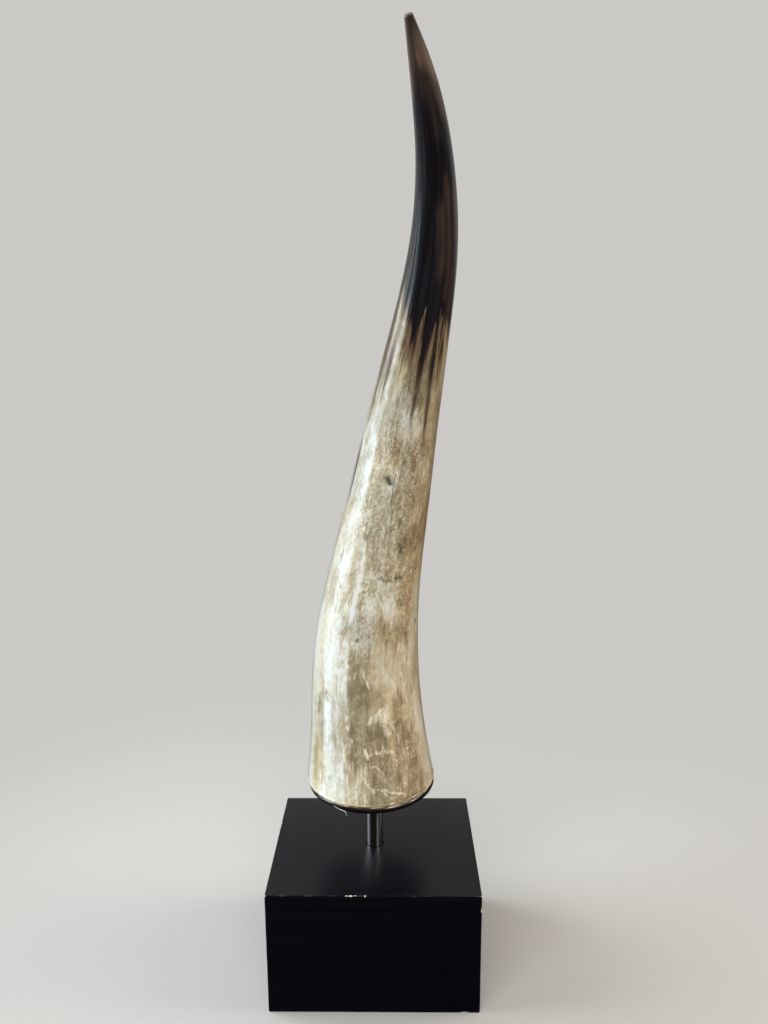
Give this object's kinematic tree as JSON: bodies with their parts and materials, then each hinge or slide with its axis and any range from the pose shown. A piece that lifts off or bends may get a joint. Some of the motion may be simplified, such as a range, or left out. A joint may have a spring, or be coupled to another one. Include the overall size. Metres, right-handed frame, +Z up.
{
  "type": "mounted animal horn on stand",
  "caption": "Polished curved animal horn standing tip up on a short steel rod, a thin metal disc and a rectangular black lacquered wooden block.",
  "frame": {"origin": "centre of the block's underside", "axes": "+Z up, along the rod and towards the horn's tip; X along the block's width; the horn's tip leans towards -Y, the front"},
  "size_m": [0.127, 0.1362, 0.533],
  "materials": {
    "black_lacquer": "wood under satin black lacquer",
    "polished_steel": "polished",
    "dark_metal": "dark, polished",
    "horn": "polished natural horn, cream and tan below, near black above"
  },
  "bodies": {
    "root": {"base_block": "black_lacquer", "support_rod": "polished_steel", "foot_disc": "dark_metal", "horn": "horn"}
  },
  "joints": []
}
